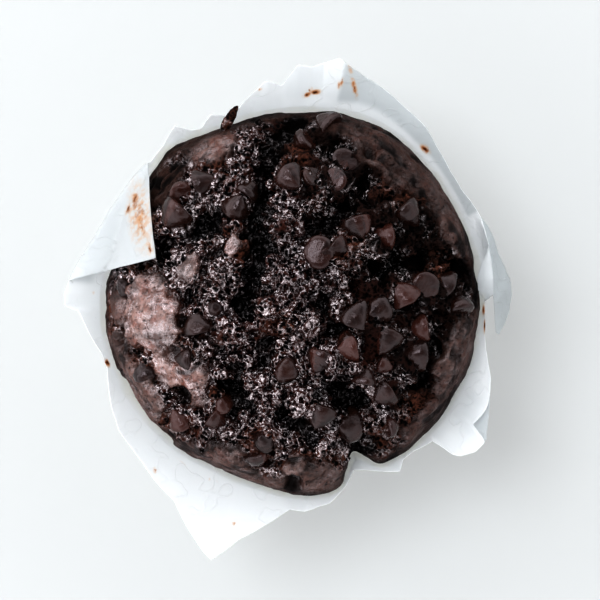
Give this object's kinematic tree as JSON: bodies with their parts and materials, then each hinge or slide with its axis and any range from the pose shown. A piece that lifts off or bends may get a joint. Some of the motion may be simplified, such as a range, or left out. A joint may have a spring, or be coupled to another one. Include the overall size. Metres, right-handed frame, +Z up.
{
  "type": "muffin",
  "caption": "Chocolate chip muffin with a split crown, standing in a pleated case pressed from a square sheet of white baking paper.",
  "frame": {"origin": "middle of the paper case's flat underside", "axes": "+Z up; +Y towards the top of the picture and +X towards its right"},
  "size_m": [0.1075, 0.1191, 0.0773],
  "materials": {
    "crumb": "dark chocolate crumb, dull with a faint fat gloss",
    "baking_paper": "white greaseproof baking paper, satin"
  },
  "bodies": {
    "root": {"crumb_with_chips": "crumb", "paper_case": "baking_paper"}
  },
  "joints": []
}
